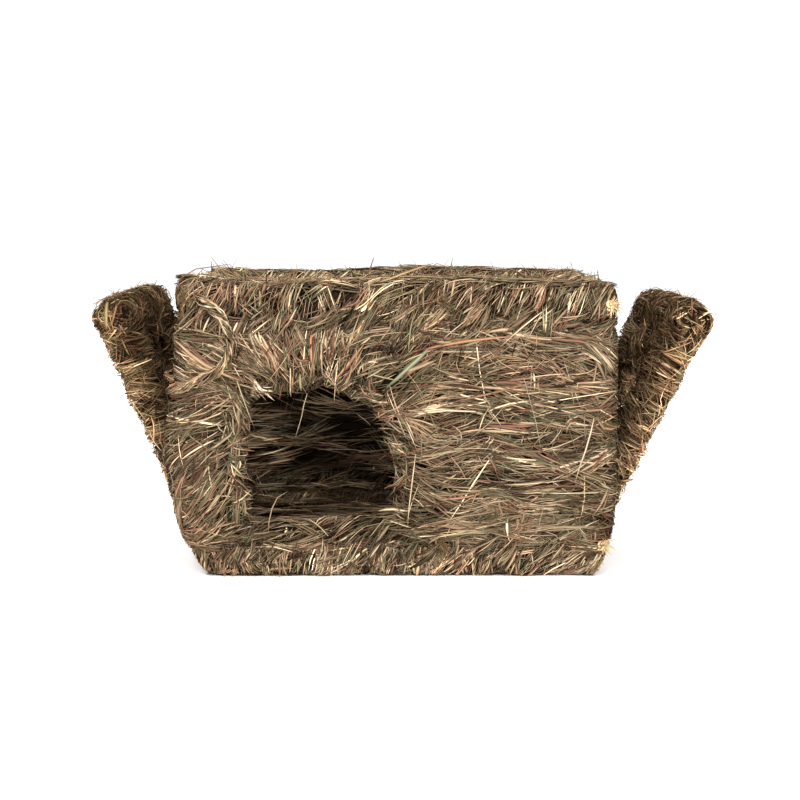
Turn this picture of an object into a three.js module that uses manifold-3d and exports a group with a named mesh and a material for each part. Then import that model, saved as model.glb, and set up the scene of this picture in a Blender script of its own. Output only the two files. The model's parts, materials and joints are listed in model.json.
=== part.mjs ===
// A folding hideaway hut of dried grass for small pets, 400 x 280 x 270 mm, with both end flaps leaning open.
// Floor, front, back, roof and two end flaps are each a steel wire loop wound with grass rolls round a woven mat.
// The hut stands on z = 0 with the origin under its middle: X along its length, Y from front to back, Z up.
import * as THREE from "three";
import { mergeVertices } from "three/addons/utils/BufferGeometryUtils.js";
import Module from "manifold-3d";

const wasm = await Module();
wasm.setup();

// Driving dimensions, in millimetres and degrees.
const HUT_LENGTH = 400;
const HUT_DEPTH = 280;
const HUT_HEIGHT = 270;
const FLOOR_ROLL = 14; // radius of the grass rolls round the floor
const WALL_ROLL = 13; // radius round the front and the back
const ROOF_ROLL = 18; // radius round the roof
const FLAP_ROLL = 18; // radius round the two end flaps
const FLAP_SPAN = 205.5; // from a flap's bottom roll to its top roll, centre to centre
const FLAP_WIDTH = 216; // length of a flap's bottom and top rolls
const FLAP_INSET = 19; // from the end of the hut in to the flap's hinge line
const LEFT_LEAN = 23; // how far each flap leans out from upright
const RIGHT_LEAN = 26;
const CLEARANCE = 0.3; // between a piece and what is bound against it
const HINGE_CLEARANCE = 0.5; // under a flap's bottom roll, which turns

const ROLL_SIDES = 12;
const ROLL_CHAMFER = 3;
const WIRE_RADIUS = 1.2;
const CHANNEL_RADIUS = 1.6; // of the way through the grass that a wire lies in
const WIRE_SIDES = 6;
const WIRE_END_GAP = 1.6; // between the two ends of a wire loop
const WIRE_CORNER = 12; // bend radius at the corners of a wire loop
const ARC_STEPS = 4;

const MAT_THICKNESS = 20;
const FLAP_MAT_THICKNESS = 22;
const MAT_TUCK = 3; // how far a mat reaches in beside a round roll
const COURSE_BULGE = 2.5; // height of each rounded course of straw over the joint between two courses
const COURSE_STEPS = 3;

// The front door's edge roll: its centre line in X and in height above the ground, from the left foot to the right.
const DOOR_EDGE_ROLL = 8;
const DOOR_LEFT = -143;
const DOOR_RIGHT = 6;
const DOOR_SHOULDERS = [135, 112]; // heights where the straight left and right sides end
const DOOR_TOP = [-112, 180, -52, 184]; // the nearly level stretch, from X, Z to X, Z
const DOOR_BENDS = [-143, 178, -9, 167]; // control points of the left and right bends
const DOOR_FOOT = 4.5; // height of the door wire's ends over the centre of the bottom roll

// A flap's doorway: open from the bottom roll up to an arch in the lower edge of its mat.
const DOORWAY_SPRING = 118;
const DOORWAY_RISE = 24;
const DOORWAY_HALF_WIDTH = 66;

const TIE_THICKNESS = 2.5;
const TIE_WIDTH = 4;
const TIE_DEPTH = 0.5; // how far a tie's outside lies under the surface of the rolls it binds
const TIE_PLACES = { left: -192, middle: 40, right: 192 }; // along X, on the long joints
const FLAP_TIE_PLACE = 50; // each side of the middle, along Y
const TIE_ARC_STEPS = 3;

// Places that follow from the dimensions above.
const floorZ = FLOOR_ROLL;
const wallLowZ = 2 * FLOOR_ROLL + CLEARANCE + WALL_ROLL;
const roofZ = HUT_HEIGHT - ROOF_ROLL;
const wallHighZ = roofZ - ROOF_ROLL - CLEARANCE - WALL_ROLL;
const floorY = HUT_DEPTH / 2 - FLOOR_ROLL;
const wallY = HUT_DEPTH / 2 - WALL_ROLL;
const roofY = HUT_DEPTH / 2 - ROOF_ROLL;
const hingeX = HUT_LENGTH / 2 - FLAP_INSET;
const hingeZ = 2 * FLOOR_ROLL + HINGE_CLEARANCE + FLAP_ROLL;
const doorMiddleZ = (wallLowZ + wallHighZ) / 2;

function dullMaterial(colour) {
  return new THREE.MeshStandardMaterial({ color: colour, roughness: 0.95, metalness: 0 });
}

const MATERIALS = {
  roll: dullMaterial(0x9a8c58),
  mat: dullMaterial(0x80764a),
  twine: dullMaterial(0xb9a273),
  wire: new THREE.MeshStandardMaterial({ color: 0xa3a5a6, roughness: 0.4, metalness: 1 }),
};

// A path that runs straight from each of its points to the next.
class CornerPath extends THREE.Curve {
  constructor(points) {
    super();
    this.points = points;
  }

  getSpacedPoints() {
    return this.points;
  }

  getTangentAt(share, target = new THREE.Vector3()) {
    const last = this.points.length - 1;
    const index = Math.round(share * last);
    const here = this.points[index];
    const arriving = here.clone().sub(this.points[Math.max(index - 1, 0)]).normalize();
    const leaving = this.points[Math.min(index + 1, last)].clone().sub(here).normalize();
    return target.copy(arriving).add(leaving).normalize();
  }
}

function solidOf(geometry) {
  const bare = geometry.clone();
  bare.deleteAttribute("normal");
  bare.deleteAttribute("uv");
  const merged = mergeVertices(bare, 1e-4);
  const mesh = new wasm.Mesh({
    numProp: 3,
    vertProperties: merged.attributes.position.array,
    triVerts: new Uint32Array(merged.index.array),
  });
  return new wasm.Manifold(mesh);
}

function meshOf(solid, name, material) {
  const { vertProperties, triVerts } = solid.getMesh();
  const shape = new THREE.BufferGeometry();
  shape.setAttribute("position", new THREE.BufferAttribute(vertProperties, 3));
  shape.setIndex(new THREE.BufferAttribute(triVerts, 1));
  const flat = shape.toNonIndexed();
  flat.computeVertexNormals();
  const mesh = new THREE.Mesh(flat, material);
  mesh.name = name;
  return mesh;
}

function cutAll(solid, cutters) {
  return cutters.reduce((left, cutter) => left.subtract(cutter), solid);
}

// A grass roll along X or Y in its panel's plane, with softened ends.
function rollGeometry({ along, x, y, length }, radius) {
  const half = length / 2;
  const profile = [
    [0, -half],
    [radius - ROLL_CHAMFER, -half],
    [radius, ROLL_CHAMFER - half],
    [radius, half - ROLL_CHAMFER],
    [radius - ROLL_CHAMFER, half],
    [0, half],
  ];
  const geometry = new THREE.LatheGeometry(profile.map(([r, at]) => new THREE.Vector2(r, at)), ROLL_SIDES);
  if (along === "x") geometry.rotateZ(-Math.PI / 2);
  return geometry.translate(x, y, 0);
}

// A round bar through points in a panel's plane.
function barGeometry(points, radius, sides) {
  const section = new THREE.Shape();
  section.absarc(0, 0, radius, 0, 2 * Math.PI, false);
  const extrudePath = new CornerPath(points.map((p) => new THREE.Vector3(p.x, p.y, 0)));
  return new THREE.ExtrudeGeometry(section, { steps: points.length - 1, extrudePath, curveSegments: sides / 2 });
}

// The line of a wire loop with rounded corners, starting and ending in the middle of its low side.
function wireLoop(width, height, endGap) {
  const [w, h, r] = [width / 2, height / 2, WIRE_CORNER];
  const loop = new THREE.Path();
  loop.moveTo(endGap / 2, -h);
  loop.absarc(w - r, r - h, r, -Math.PI / 2, 0, false);
  loop.absarc(w - r, h - r, r, 0, Math.PI / 2, false);
  loop.absarc(r - w, h - r, r, Math.PI / 2, Math.PI, false);
  loop.absarc(r - w, r - h, r, Math.PI, 1.5 * Math.PI, false);
  loop.lineTo(-endGap / 2, -h);
  return loop.getPoints(ARC_STEPS / 2);
}

// A mat in section across its courses, drawn as thickness against height, then run out along X.
function matGeometry({ length, low, high, inner, outer, courses, flatBack }) {
  const bulgeAt = (step) => COURSE_BULGE * (1 - Math.sin((Math.PI * (step % COURSE_STEPS)) / COURSE_STEPS));
  const steps = courses * COURSE_STEPS;
  const heightAt = (step) => low + ((high - low) * step) / steps;
  const section = new THREE.Shape();
  section.moveTo(outer - bulgeAt(0), low);
  for (let step = 1; step <= steps; step++) section.lineTo(outer - bulgeAt(step), heightAt(step));
  if (flatBack) {
    section.lineTo(inner, high);
    section.lineTo(inner, low);
  } else {
    for (let step = steps; step >= 0; step--) section.lineTo(inner + bulgeAt(step), heightAt(step));
  }
  const geometry = new THREE.ExtrudeGeometry(section, { depth: length, bevelEnabled: false });
  geometry.translate(0, 0, -length / 2);
  // Thickness becomes the panel's Z, height its Y and the run its X.
  geometry.rotateY(-Math.PI / 2);
  return geometry;
}

// A panel in its own plane, as solids by name: the wire loop, the four rolls wound on it and the mat between them.
function buildPanel({ name, edges, rollLength, width, height, radius, mat }) {
  const [lowName, highName, leftName, rightName] = edges.map((edge) => `${name}_${edge}_roll`);
  const lying = [
    { name: lowName, along: "x", x: 0, y: -height / 2, length: rollLength },
    { name: highName, along: "x", x: 0, y: height / 2, length: rollLength },
  ];
  const standing = [
    { name: leftName, along: "y", x: -width / 2, y: 0, length: height },
    { name: rightName, along: "y", x: width / 2, y: 0, length: height },
  ];
  const solids = {};
  const rooms = [...lying, ...standing].map((roll) => solidOf(rollGeometry(roll, radius + CLEARANCE)));
  const channelLine = wireLoop(width, height, WIRE_END_GAP / 2);
  const channel = solidOf(barGeometry(channelLine, CHANNEL_RADIUS, WIRE_SIDES));
  solids[`${name}_wire`] = solidOf(barGeometry(wireLoop(width, height, WIRE_END_GAP), WIRE_RADIUS, WIRE_SIDES));
  for (const roll of lying) {
    solids[roll.name] = solidOf(rollGeometry(roll, radius)).subtract(channel);
  }
  for (const roll of standing) {
    solids[roll.name] = cutAll(solidOf(rollGeometry(roll, radius)), [rooms[0], rooms[1], channel]);
  }
  const reach = radius - MAT_TUCK;
  const fitted = { length: width - 2 * reach, low: reach - height / 2, high: height / 2 - reach, ...mat };
  solids[`${name}_mat`] = cutAll(solidOf(matGeometry(fitted)), rooms);
  return solids;
}

function doorLine(footZ) {
  const line = new THREE.Path();
  const [startX, startZ, endX, endZ] = DOOR_TOP;
  const [leftX, leftZ, rightX, rightZ] = DOOR_BENDS;
  line.moveTo(DOOR_LEFT, footZ);
  line.lineTo(DOOR_LEFT, DOOR_SHOULDERS[0]);
  line.quadraticCurveTo(leftX, leftZ, startX, startZ);
  line.lineTo(endX, endZ);
  line.quadraticCurveTo(rightX, rightZ, DOOR_RIGHT, DOOR_SHOULDERS[1]);
  line.lineTo(DOOR_RIGHT, footZ);
  return line.getPoints(ARC_STEPS).map((p) => new THREE.Vector2(p.x, p.y - doorMiddleZ));
}

// The front panel's door: a hole through the mat, and round it a wire in a roll of grass.
function addDoor(solids) {
  const hole = new THREE.ExtrudeGeometry(new THREE.Shape(doorLine(wallLowZ)), {
    depth: 2 * MAT_THICKNESS,
    bevelEnabled: false,
  });
  hole.translate(0, 0, -MAT_THICKNESS);
  const edgeLine = doorLine(wallLowZ);
  const edge = solidOf(barGeometry(edgeLine, DOOR_EDGE_ROLL, ROLL_SIDES));
  const edgeRoom = solidOf(barGeometry(edgeLine, DOOR_EDGE_ROLL + CLEARANCE, ROLL_SIDES));
  const channel = solidOf(barGeometry(doorLine(wallLowZ + DOOR_FOOT - CLEARANCE), CHANNEL_RADIUS, WIRE_SIDES));
  const bottomRoll = { along: "x", x: 0, y: wallLowZ - doorMiddleZ, length: HUT_LENGTH };
  const bottomRoom = solidOf(rollGeometry(bottomRoll, WALL_ROLL + CLEARANCE));
  solids.front_mat = cutAll(solids.front_mat, [solidOf(hole), edgeRoom]);
  solids.front_bottom_roll = solids.front_bottom_roll.subtract(channel);
  solids.front_door_edge_roll = cutAll(edge, [bottomRoom, channel]);
  solids.front_door_wire = solidOf(barGeometry(doorLine(wallLowZ + DOOR_FOOT), WIRE_RADIUS, WIRE_SIDES));
}

// A ring that cuts a groove all round a flap's bottom roll, so that the roll can turn inside its tie.
function grooveGeometry(x, y) {
  const floor = FLAP_ROLL - TIE_DEPTH - TIE_THICKNESS - 2 * CLEARANCE;
  const half = TIE_WIDTH / 2 + CLEARANCE;
  const profile = [
    [floor, -half],
    [FLAP_ROLL + 1, -half],
    [FLAP_ROLL + 1, half],
    [floor, half],
    [floor, -half],
  ];
  const ring = new THREE.LatheGeometry(profile.map(([r, at]) => new THREE.Vector2(r, at)), ROLL_SIDES);
  return ring.rotateZ(-Math.PI / 2).translate(x, y, 0);
}

// An end flap in its own plane: doorway below, mat above, and two tie grooves round its bottom roll.
function buildFlap(name) {
  const half = FLAP_SPAN / 2;
  const solids = buildPanel({
    name,
    edges: ["bottom", "top", "front", "rear"],
    rollLength: FLAP_WIDTH,
    width: FLAP_WIDTH - 2 * FLAP_ROLL,
    height: FLAP_SPAN,
    radius: FLAP_ROLL,
    mat: {
      low: DOORWAY_SPRING - half,
      inner: -FLAP_MAT_THICKNESS / 2,
      outer: FLAP_MAT_THICKNESS / 2,
      courses: 2,
    },
  });
  const arch = new THREE.Shape();
  arch.absellipse(0, DOORWAY_SPRING - half, DOORWAY_HALF_WIDTH, DOORWAY_RISE, 0, 2 * Math.PI, false, 0);
  const hole = new THREE.ExtrudeGeometry(arch, {
    depth: 2 * FLAP_MAT_THICKNESS,
    bevelEnabled: false,
    curveSegments: 2 * ARC_STEPS,
  });
  hole.translate(0, 0, -FLAP_MAT_THICKNESS);
  solids[`${name}_mat`] = solids[`${name}_mat`].subtract(solidOf(hole));
  const grooves = [-FLAP_TIE_PLACE, FLAP_TIE_PLACE].map((at) => solidOf(grooveGeometry(at, -half)));
  solids[`${name}_bottom_roll`] = cutAll(solids[`${name}_bottom_roll`], grooves);
  return solids;
}

// The closed line that a cord makes when it is pulled tight round two rolls seen end on.
function addBelt(line, a, b, depth) {
  const heading = Math.atan2(b.y - a.y, b.x - a.x);
  const spread = Math.acos((a.radius - b.radius) / Math.hypot(b.x - a.x, b.y - a.y));
  line.absarc(b.x, b.y, b.radius - depth, heading - spread, heading + spread, false);
  line.absarc(a.x, a.y, a.radius - depth, heading + spread, heading - spread + 2 * Math.PI, false);
  line.closePath();
  return line;
}

function beltGeometry(a, b, outerDepth, innerDepth, width) {
  const section = addBelt(new THREE.Shape(), a, b, outerDepth);
  section.holes.push(addBelt(new THREE.Path(), a, b, innerDepth));
  const geometry = new THREE.ExtrudeGeometry(section, {
    depth: width,
    bevelEnabled: false,
    curveSegments: TIE_ARC_STEPS,
  });
  return geometry.translate(0, 0, -width / 2);
}

// A tie round two rolls, and the notch it pulls into the pieces it binds, both in the hut's frame.
function makeTie(name, a, b, placement) {
  const inner = TIE_DEPTH + TIE_THICKNESS;
  const cord = beltGeometry(a, b, TIE_DEPTH, inner, TIE_WIDTH);
  const notch = beltGeometry(a, b, -TIE_DEPTH, inner + CLEARANCE, TIE_WIDTH + 2 * CLEARANCE);
  return { name, cord: cord.applyMatrix4(placement), notch: notch.applyMatrix4(placement) };
}

const X_AXIS = new THREE.Vector3(1, 0, 0);
const Y_AXIS = new THREE.Vector3(0, 1, 0);
const Z_AXIS = new THREE.Vector3(0, 0, 1);

// Where a drawing's x, y and z go in the hut: flat on the ground, standing across it, or standing along its depth.
const LYING = new THREE.Matrix4();
const FACING_FRONT = new THREE.Matrix4().makeBasis(X_AXIS, Z_AXIS, Y_AXIS.clone().negate());
const FACING_END = new THREE.Matrix4().makeBasis(Y_AXIS, Z_AXIS, X_AXIS);

function placed(matrix, x, y, z) {
  return new THREE.Matrix4().makeTranslation(x, y, z).multiply(matrix);
}

function makeTies() {
  const ties = [];
  for (const [wall, side] of [["front", -1], ["back", 1]]) {
    const floorRoll = { x: side * floorY, y: floorZ, radius: FLOOR_ROLL };
    const lowRoll = { x: side * wallY, y: wallLowZ, radius: WALL_ROLL };
    const highRoll = { x: side * wallY, y: wallHighZ, radius: WALL_ROLL };
    const roofRoll = { x: side * roofY, y: roofZ, radius: ROOF_ROLL };
    for (const [place, x] of Object.entries(TIE_PLACES)) {
      const placement = placed(FACING_END, x, 0, 0);
      ties.push(makeTie(`tie_floor_${wall}_${place}`, floorRoll, lowRoll, placement));
      ties.push(makeTie(`tie_roof_${wall}_${place}`, highRoll, roofRoll, placement));
    }
  }
  for (const [flap, side] of [["left", -1], ["right", 1]]) {
    const floorRoll = { x: side * (HUT_LENGTH / 2 - FLOOR_ROLL), y: floorZ, radius: FLOOR_ROLL };
    const flapRoll = { x: side * hingeX, y: hingeZ, radius: FLAP_ROLL };
    for (const [place, y] of [["front", -FLAP_TIE_PLACE], ["rear", FLAP_TIE_PLACE]]) {
      ties.push(makeTie(`tie_${flap}_flap_${place}`, floorRoll, flapRoll, placed(FACING_FRONT, 0, y, 0)));
    }
  }
  return ties;
}

function materialFor(name) {
  const kind = name.split("_").pop();
  return MATERIALS[kind];
}

// Puts a panel's solids into the hut as meshes, notched where the ties bind them.
function addPanel(parent, solids, placement, ties) {
  const group = new THREE.Group();
  group.applyMatrix4(placement);
  parent.add(group);
  parent.updateMatrixWorld(true);
  const toPanel = group.matrixWorld.clone().invert();
  const notches = ties.map((tie) => solidOf(tie.notch.clone().applyMatrix4(toPanel)));
  for (const [name, solid] of Object.entries(solids)) {
    group.add(meshOf(cutAll(solid, notches), name, materialFor(name)));
  }
}

const evenMat = { inner: -MAT_THICKNESS / 2, outer: MAT_THICKNESS / 2 };

const floor = buildPanel({
  name: "floor",
  edges: ["front", "back", "left", "right"],
  rollLength: HUT_LENGTH,
  width: HUT_LENGTH - 2 * FLOOR_ROLL,
  height: 2 * floorY,
  radius: FLOOR_ROLL,
  mat: { inner: -FLOOR_ROLL, outer: MAT_THICKNESS - FLOOR_ROLL, courses: 6, flatBack: true },
});

const wallShape = {
  edges: ["bottom", "top", "left", "right"],
  rollLength: HUT_LENGTH,
  width: HUT_LENGTH - 2 * WALL_ROLL,
  height: wallHighZ - wallLowZ,
  radius: WALL_ROLL,
  mat: { ...evenMat, courses: 4 },
};
const front = buildPanel({ name: "front", ...wallShape });
addDoor(front);
const back = buildPanel({ name: "back", ...wallShape });

const roof = buildPanel({
  name: "roof",
  edges: ["front", "back", "left", "right"],
  rollLength: HUT_LENGTH,
  width: HUT_LENGTH - 2 * ROOF_ROLL,
  height: 2 * roofY,
  radius: ROOF_ROLL,
  mat: { ...evenMat, courses: 6 },
});

const hut = new THREE.Group();
const ties = makeTies();
addPanel(hut, floor, placed(LYING, 0, 0, floorZ), ties);
addPanel(hut, front, placed(FACING_FRONT, 0, -wallY, doorMiddleZ), ties);
addPanel(hut, back, placed(FACING_FRONT, 0, wallY, doorMiddleZ), ties);
addPanel(hut, roof, placed(LYING, 0, 0, roofZ), ties);
for (const tie of ties) {
  hut.add(meshOf(solidOf(tie.cord), tie.name, MATERIALS.twine));
}

for (const [name, side, lean] of [["left_flap", -1, LEFT_LEAN], ["right_flap", 1, RIGHT_LEAN]]) {
  const hinge = new THREE.Group();
  hinge.position.set(side * hingeX, 0, hingeZ);
  hinge.rotation.y = side * THREE.MathUtils.degToRad(lean);
  hut.add(hinge);
  addPanel(hinge, buildFlap(name), placed(FACING_END, 0, 0, FLAP_SPAN / 2), []);
}

export default hut;
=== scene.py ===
"""The looks of a folding hideaway hut of dried grass: straws wound on its rolls and woven over its mats."""

import json
import math
import zlib

import bpy
import numpy as np
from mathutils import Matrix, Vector


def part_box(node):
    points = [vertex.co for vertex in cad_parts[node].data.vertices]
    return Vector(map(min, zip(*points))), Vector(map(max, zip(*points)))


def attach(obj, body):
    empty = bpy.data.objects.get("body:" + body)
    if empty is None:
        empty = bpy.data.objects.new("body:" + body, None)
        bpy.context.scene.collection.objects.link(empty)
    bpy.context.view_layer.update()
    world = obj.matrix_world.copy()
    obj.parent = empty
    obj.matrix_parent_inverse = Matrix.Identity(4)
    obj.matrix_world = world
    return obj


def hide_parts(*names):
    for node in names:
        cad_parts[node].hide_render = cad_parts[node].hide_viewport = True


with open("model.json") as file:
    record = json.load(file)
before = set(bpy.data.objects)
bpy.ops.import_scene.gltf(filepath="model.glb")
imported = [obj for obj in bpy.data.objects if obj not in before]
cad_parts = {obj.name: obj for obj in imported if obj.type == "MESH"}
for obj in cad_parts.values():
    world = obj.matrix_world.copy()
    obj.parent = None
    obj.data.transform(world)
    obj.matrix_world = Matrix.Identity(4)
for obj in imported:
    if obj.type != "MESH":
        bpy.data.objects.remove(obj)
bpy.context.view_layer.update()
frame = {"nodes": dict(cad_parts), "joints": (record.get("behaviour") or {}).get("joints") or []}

# Lengths are in millimetres and angles in degrees, until a mesh is made.
MM = 0.001
TURN = 2 * math.pi

# Colours of the straws, in sRGB, each with its share.
STRAW_COLOURS = {
    "pale": ((186, 165, 134), 0.13),
    "straw": ((148, 123, 96), 0.20),
    "khaki": ((124, 107, 82), 0.18),
    "olive": ((100, 93, 68), 0.17),
    "green": ((88, 90, 71), 0.05),
    "brown": ((112, 82, 65), 0.17),
    "russet": ((116, 84, 62), 0.04),
    "plum": ((88, 58, 52), 0.02),
    "dark": ((62, 48, 36), 0.04),
}
# The flaps are browner than the hut, and brightened with painted light, the right flap most, for the light
# that falls on their outer faces. On the side that faces the hut they are darkened with painted shade.
BODY_TONES_AND_LIGHT = {"hut": (1, 1, 1), "left_flap": (1.9, 1.7, 1.48), "right_flap": (2.15, 1.93, 1.72)}
# Painted shade: the share of its colour that a straw keeps on the side of a flap that faces the hut.
FLAP_INSIDE_SHADE = 0.24
# Painted light: the inner coats of the back, roof and floor are this much brighter, for the light that
# reaches into the hut.
HUT_INSIDE_PAINTED_LIGHT = 1.8
# The cores are coloured dark as painted shade, for the depths between the straws.
CORE_SHADE_COLOUR = (38, 29, 20)
CORD_COLOUR = (104, 84, 60)
KNOT_COLOUR = (206, 178, 136)

# How straws are made. Widths and lengths are medians.
STATIONS = 5  # points along each straw
TUFT_SIZE = 14  # straws that lie together
STRAW_WIDTH = 1.2
BROADEST = 4.2
STRAW_LENGTH = 38
TUCK = 2.4  # how far both ends of a straw go in under its neighbours
DEPTH = 5.4  # from the lowest tufts to the highest
LOWEST = 0.3  # how far over the ground straws that would lie under it are left
GIVE = 0.9  # the height over which they are pressed flat
SHADE = (-0.7, 3.4)  # heights at which straws are in the dark of their neighbours, and clear of them
DARKEST = 0.05  # share of its colour that the lowest straw keeps
EDGES = (0.24, 0.38, 1.5)  # light on a straw's two edges and on its ridge
OVERLAP = 9  # how far a coat of straws runs on over the rolls of the next panel
# The dark of the roll cores and of the mat's bars is painted shade.
CORE_DEPTH = 3.6  # from a roll's surface in to its dark core
CORE_SIDES = 14
STRANDS = 3  # dark bars inside each course of a mat
JOINT_HEIGHT = 7.5  # how high straws bridge the joint between two of the front's rolls
ROLL_RUN = 400  # the length of the long rolls, by which their slants change
SEAM_GAP = 1.0  # between the bars of two courses, where light comes through
SEAM_WAVE = 1.6  # how far the seam between two courses strays up and down

# The front door's outline, in X and in height above the ground.
DOOR_EDGE_ROLL = 8
DOOR_LEFT = -143
DOOR_RIGHT = 6
DOOR_SHOULDERS = (135, 112)
DOOR_TOP = (-112, 180, -52, 184)
DOOR_BENDS = (-143, 178, -9, 167)
DOOR_FOOT = 41.3
OPENING_ROOM = 2  # how far the straws stay away from an opening
CURVE_POINTS = 7

# What stands out on the front, in X, height, degrees from level, straws, length, width and spread in
# degrees: a fan at the right corner, broad leaves, a bunch over the door, and long straws across the rest.
FRONT_TUFTS = [
    (186, 204, -52, 22, 34, 2.4, 13), (112, 229, 14, 5, 52, 3.6, 7), (60, 213, 8, 5, 58, 3.4, 6),
    (-74, 208, 86, 16, 40, 1.6, 5), (-112, 206, -64, 16, 44, 1.7, 6), (-60, 216, 84, 12, 36, 1.5, 6),
    (-40, 196, 60, 14, 46, 1.9, 6), (-172, 196, -26, 18, 44, 1.8, 7), (96, 178, 6, 6, 60, 2.6, 8),
    (20, 190, 34, 10, 56, 2.4, 6), (-20, 226, 10, 5, 70, 2.0, 6), (150, 190, -50, 3, 40, 1.3, 12),
    (80, 150, 55, 3, 34, 1.6, 20), (-150, 90, 62, 12, 52, 2.0, 10), (-178, 150, 30, 12, 46, 1.8, 8),
    (70, 44, 8, 8, 60, 1.8, 8),
]
# The same for tufts that hang into the doorway.
DOOR_TUFTS = [
    (-142, 162, -55, 8, 26, 1.4, 20), (-140, 128, 20, 8, 20, 1.3, 26), (-141, 98, -38, 8, 22, 1.3, 24),
    (-139, 70, 48, 7, 20, 1.3, 26), (-122, 176, -30, 7, 22, 1.3, 20), (-92, 183, 70, 8, 20, 1.4, 18),
    (-58, 182, -62, 7, 24, 1.3, 20), (-24, 172, -42, 8, 24, 1.4, 20), (-2, 150, 25, 8, 22, 1.3, 24),
    (1, 118, -12, 8, 22, 1.3, 24), (3, 86, 22, 8, 20, 1.3, 24), (2, 60, -25, 7, 20, 1.3, 24),
    (-100, 44, 60, 6, 16, 1.3, 30), (-60, 43, -50, 6, 16, 1.3, 30), (-20, 44, 55, 6, 16, 1.3, 30),
]
# Painted shade for the hollows between tufts on the front, where the straws' colour is darkened, in X,
# height, half length and half height.
FRONT_HOLLOW_SHADE = [
    (0, 232, 15, 4), (6, 181, 8, 4), (-100, 224, 12, 4), (60, 150, 20, 3), (110, 84, 22, 3),
    (150, 165, 16, 3), (-176, 132, 14, 5), (30, 60, 18, 3), (170, 60, 14, 3), (-60, 40, 26, 2.5),
    (-128, 46, 12, 3),
]
# A twisted strand that has come loose.
STRAND = [(-178, 256), (-157, 241), (-147, 218), (-151, 202), (-165, 187), (-184, 178), (-203, 171)]
# Single stalks by the piece that they grow from: over the roof, and over the front and in its doorway.
# Each has a colour and a width, and runs through five places.
STALKS = {
    "roof_front_roll": [
        ("brown", 3.0,
         [(-199, -134, 254), (-194, -133, 269), (-180, -131, 278), (-164, -130, 282), (-149, -129, 286)]),
        ("brown", 1.0,
         [(-150, -129, 286), (-147, -129, 283), (-143, -129, 279), (-139, -128, 274), (-136, -128, 268)]),
        ("dark", 1.9,
         [(-117, -128, 264), (-117, -128, 269), (-117, -128, 274), (-117, -128, 279), (-117, -128, 284)]),
        ("straw", 3.4,
         [(-20, -128, 268), (-6, -129, 272), (8, -129, 277), (20, -129, 281), (33, -129, 285)]),
        ("brown", 0.9,
         [(18, -128, 266), (25, -128, 277), (36, -128, 285), (48, -128, 281), (58, -128, 269)]),
        ("olive", 2.6,
         [(155, -126, 268), (162, -126, 272), (169, -126, 275), (176, -126, 277), (183, -126, 278)]),
        ("brown", 1.5,
         [(122, -126, 264), (123, -126, 270), (121, -126, 276), (117, -126, 281), (112, -126, 286)]),
        ("brown", 1.2,
         [(128, -126, 264), (131, -126, 270), (133, -126, 276), (136, -126, 281), (138, -126, 286)]),
    ],
    "front_mat": [
        ("pale", 1.2,
         [(-81, -136, 171), (-84, -136, 161), (-86, -135, 151), (-89, -134, 141), (-92, -133, 131)]),
        ("pale", 1.6,
         [(177, -147, 151), (174, -147, 137), (170, -147, 122), (165, -147, 107), (161, -147, 92)]),
        ("pale", 1.5,
         [(17, -146, 114), (15, -147, 97), (13, -147, 80), (11, -147, 63), (10, -146, 46)]),
        ("straw", 1.2,
         [(-118, -147, 46), (-116, -147, 56), (-113, -146, 68), (-108, -146, 78), (-98, -146, 84)]),
        ("straw", 1.4,
         [(120, -147, 120), (131, -147, 136), (141, -147, 150), (144, -147, 140), (146, -147, 128)]),
    ],
}
CORD_STRANDS = 3
CORD_STRAND_RADIUS = 0.95
CORD_TWIST = 11  # along the cord, for one turn of its strands
CORD_SIDES = 7
KNOT_TURNS = (2, 3)  # how often a knot's cord goes round it, and through it
KNOT_HEIGHTS = {"floor": 31, "roof": 251}

# How each fixed panel is made: the courses of its mat, the slants of the straws on its rolls in degrees,
# the straws on each metre of roll, how bright they are, and the straws laid over it outside and inside.
HUT_PANELS = {
    "floor": (6, ([60, 82, 50, 66, 88, 58, 76, 48, 70], [50], [70], [70]), 7600, 2.0, 2200, 3600),
    "front": (4, ([24], [60], [60], [75]), 4200, 1.0, 11500, 3000),
    "back": (4, ([40], [60], [60], [60]), 4200, 1.0, 5600, 3700),
    "roof": (6, ([30, 75, 96, 60, 38, 52, 60, 58, 60], [58], [70], [70]), 8000, 1.65, 6500, 2500),
}
FRONT_TONE = 0.93  # how bright the front's own straws are
FLAP_COURSES = 2
FLAP_SLANT = 84
FLAP_STRAWS_PER_METRE = 8600
FLAP_COAT = 3400
FLAP_FUZZ = 560  # loose straws on each of a flap's rolls
FLAP_UNEVENNESS = 2.4
HUT_UNEVENNESS = 0.9

# A flap's doorway: an arch in the lower edge of its mat.
ARCH_RISE = 24
ARCH_HALF_WIDTH = 66
ARCH_ROLL = 8

# How the straws lie on the front: in X, height and degrees from level, and how far each direction reaches.
FRONT_LAY = [
    (-188, 205, -28, 20), (-165, 212, -36, 18), (-172, 188, -20, 18), (-150, 190, -38, 14),
    (-140, 215, -58, 15), (-128, 192, -50, 14), (-112, 215, -66, 14), (-105, 192, -64, 13),
    (-84, 210, 88, 14), (-76, 190, 88, 13), (-60, 210, 82, 11), (-58, 190, 82, 10),
    (-42, 212, 66, 11), (-38, 192, 58, 11), (-16, 205, 44, 16), (-14, 182, 44, 14),
    (14, 205, 34, 16), (18, 180, 36, 14), (46, 195, 16, 18), (60, 215, 10, 20),
    (-190, 168, 34, 16), (-168, 172, 8, 14), (-148, 162, -48, 11), (-146, 140, -75, 10),
    (-188, 145, 40, 16), (-165, 145, 22, 14), (-188, 118, 58, 16), (-160, 118, 52, 14),
    (-188, 88, 50, 16), (-160, 86, 60, 14), (-186, 62, 56, 14), (-156, 60, 48, 12),
    (14, 135, -28, 9), (14, 110, -12, 9), (14, 84, -24, 9), (14, 62, -14, 9),
]


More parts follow.
